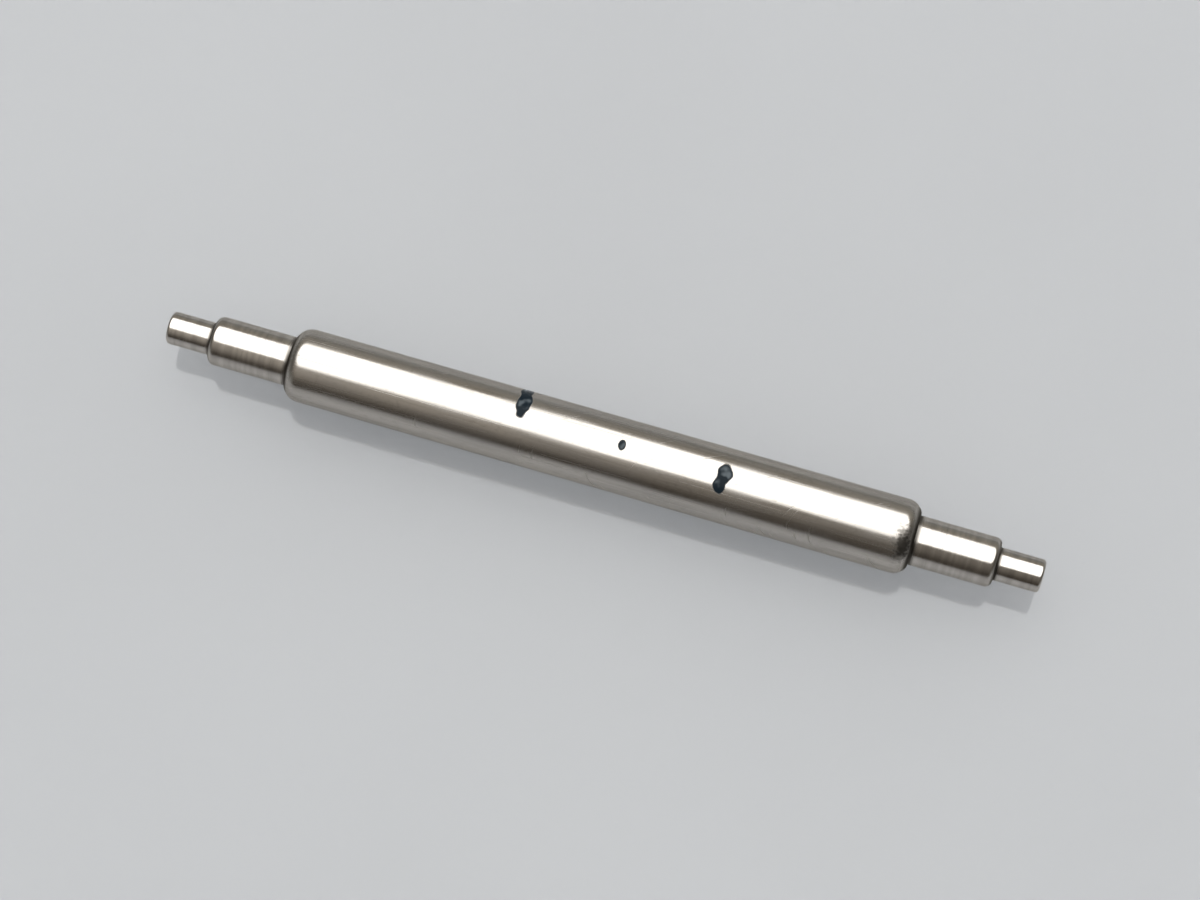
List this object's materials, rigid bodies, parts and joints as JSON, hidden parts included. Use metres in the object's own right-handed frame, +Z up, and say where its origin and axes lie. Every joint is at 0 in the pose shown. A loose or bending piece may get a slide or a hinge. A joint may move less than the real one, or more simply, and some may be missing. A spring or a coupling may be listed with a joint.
{
  "type": "spring bar",
  "caption": "Slim metal watch strap pin: a thin rolled sleeve with a stepped, spring-loaded plunger in each end.",
  "frame": {"origin": "middle of the bar, on its axis", "axes": "+X along the bar towards the right plunger; the bar is round, so +Y and +Z are any two directions across it, and +Z is up as it lies"},
  "size_m": [0.0216, 0.0018, 0.0018],
  "materials": {
    "sleeve_steel": "satin, drawn along the tube",
    "pin_steel": "fine turned",
    "spring_wire": "drawn wire"
  },
  "bodies": {
    "sleeve": {"sleeve": "sleeve_steel"},
    "spring": {"coil_spring": "spring_wire"},
    "left_plunger": {"left_plunger": "pin_steel"},
    "right_plunger": {"right_plunger": "pin_steel"}
  },
  "joints": [
    {"name": "core_turn", "type": "hinge", "parent": "sleeve", "child": "spring", "pos_m": [0, 0, 0], "axis": [1, 0, 0], "continuous": true},
    {"name": "left_press", "type": "slide", "parent": "spring", "child": "left_plunger", "axis": [1, 0, 0], "range_m": [0, 0.0016], "stiffness_N_per_m": 840, "springref_m": -0.0023, "deforming": ["coil_spring"]},
    {"name": "right_press", "type": "slide", "parent": "spring", "child": "right_plunger", "axis": [-1, 0, 0], "range_m": [0, 0.0016], "stiffness_N_per_m": 840, "springref_m": -0.0023, "deforming": ["coil_spring"]}
  ]
}
